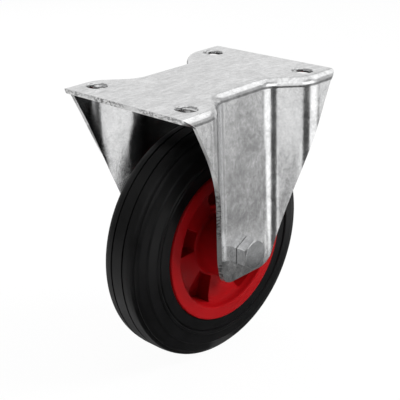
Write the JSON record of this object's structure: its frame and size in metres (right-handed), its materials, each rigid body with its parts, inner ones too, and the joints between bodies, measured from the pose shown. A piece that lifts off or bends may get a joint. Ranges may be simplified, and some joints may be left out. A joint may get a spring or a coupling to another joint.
{
  "type": "fixed castor",
  "caption": "Fixed castor: pressed steel fork with a slotted top plate, red spoked plastic rim with a black rubber tyre, and a roller bearing on a bolted axle.",
  "frame": {"origin": "centre of the plate's top face, the face that is bolted on", "axes": "+Z out of the plate's top face, away from the wheel; X is the rolling direction; the axle lies along Y with the bolt head on the -Y side"},
  "size_m": [0.16, 0.11, 0.1896],
  "materials": {
    "zinc_plate": "zinc-plated pressed sheet, slightly mottled",
    "bolt_zinc": "zinc plated",
    "bright_steel": "ground bright",
    "tyre": "satin black rubber",
    "rim_red": "satin moulded polypropylene",
    "seal_plastic": "moulded",
    "cage_plastic": "moulded nylon",
    "insert_nylon": "moulded nylon"
  },
  "bodies": {
    "fork": {"fork": "zinc_plate", "sleeve": "bright_steel", "bolt": "bolt_zinc", "washer": "bolt_zinc", "nut": "bolt_zinc", "nut_insert": "insert_nylon"},
    "wheel": {"rim": "rim_red", "tyre": "tyre", "seal_near": "seal_plastic", "seal_far": "seal_plastic"},
    "bearing_cage": {"cage": "cage_plastic"},
    "bearing_roller_01": {"roller_01": "bright_steel"},
    "bearing_roller_02": {"roller_02": "bright_steel"},
    "bearing_roller_03": {"roller_03": "bright_steel"},
    "bearing_roller_04": {"roller_04": "bright_steel"},
    "bearing_roller_05": {"roller_05": "bright_steel"},
    "bearing_roller_06": {"roller_06": "bright_steel"},
    "bearing_roller_07": {"roller_07": "bright_steel"},
    "bearing_roller_08": {"roller_08": "bright_steel"},
    "bearing_roller_09": {"roller_09": "bright_steel"},
    "bearing_roller_10": {"roller_10": "bright_steel"}
  },
  "joints": [
    {"name": "wheel_spin", "type": "hinge", "parent": "fork", "child": "wheel", "pos_m": [0, 0, -0.1096], "axis": [0, 1, 0], "continuous": true},
    {"name": "cage_spin", "type": "hinge", "parent": "fork", "child": "bearing_cage", "pos_m": [0, 0, -0.1096], "axis": [0, 1, 0], "continuous": true},
    {"name": "roller_01_spin", "type": "hinge", "parent": "bearing_cage", "child": "bearing_roller_01", "pos_m": [0.0127, 0, -0.1096], "axis": [0, 1, 0], "continuous": true},
    {"name": "roller_02_spin", "type": "hinge", "parent": "bearing_cage", "child": "bearing_roller_02", "pos_m": [0.01027, 0, -0.10214], "axis": [0, 1, 0], "continuous": true},
    {"name": "roller_03_spin", "type": "hinge", "parent": "bearing_cage", "child": "bearing_roller_03", "pos_m": [0.00392, 0, -0.09752], "axis": [0, 1, 0], "continuous": true},
    {"name": "roller_04_spin", "type": "hinge", "parent": "bearing_cage", "child": "bearing_roller_04", "pos_m": [-0.00392, 0, -0.09752], "axis": [0, 1, 0], "continuous": true},
    {"name": "roller_05_spin", "type": "hinge", "parent": "bearing_cage", "child": "bearing_roller_05", "pos_m": [-0.01027, 0, -0.10214], "axis": [0, 1, 0], "continuous": true},
    {"name": "roller_06_spin", "type": "hinge", "parent": "bearing_cage", "child": "bearing_roller_06", "pos_m": [-0.0127, 0, -0.1096], "axis": [0, 1, 0], "continuous": true},
    {"name": "roller_07_spin", "type": "hinge", "parent": "bearing_cage", "child": "bearing_roller_07", "pos_m": [-0.01027, 0, -0.11706], "axis": [0, 1, 0], "continuous": true},
    {"name": "roller_08_spin", "type": "hinge", "parent": "bearing_cage", "child": "bearing_roller_08", "pos_m": [-0.00392, 0, -0.12168], "axis": [0, 1, 0], "continuous": true},
    {"name": "roller_09_spin", "type": "hinge", "parent": "bearing_cage", "child": "bearing_roller_09", "pos_m": [0.00392, 0, -0.12168], "axis": [0, 1, 0], "continuous": true},
    {"name": "roller_10_spin", "type": "hinge", "parent": "bearing_cage", "child": "bearing_roller_10", "pos_m": [0.01027, 0, -0.11706], "axis": [0, 1, 0], "continuous": true}
  ],
  "couplings": [
    {"joint": "cage_spin", "follows": "wheel_spin", "ratio": 0.6063},
    {"joint": "roller_01_spin", "follows": "wheel_spin", "ratio": 2.2456},
    {"joint": "roller_02_spin", "follows": "wheel_spin", "ratio": 2.2456},
    {"joint": "roller_03_spin", "follows": "wheel_spin", "ratio": 2.2456},
    {"joint": "roller_04_spin", "follows": "wheel_spin", "ratio": 2.2456},
    {"joint": "roller_05_spin", "follows": "wheel_spin", "ratio": 2.2456},
    {"joint": "roller_06_spin", "follows": "wheel_spin", "ratio": 2.2456},
    {"joint": "roller_07_spin", "follows": "wheel_spin", "ratio": 2.2456},
    {"joint": "roller_08_spin", "follows": "wheel_spin", "ratio": 2.2456},
    {"joint": "roller_09_spin", "follows": "wheel_spin", "ratio": 2.2456},
    {"joint": "roller_10_spin", "follows": "wheel_spin", "ratio": 2.2456}
  ]
}
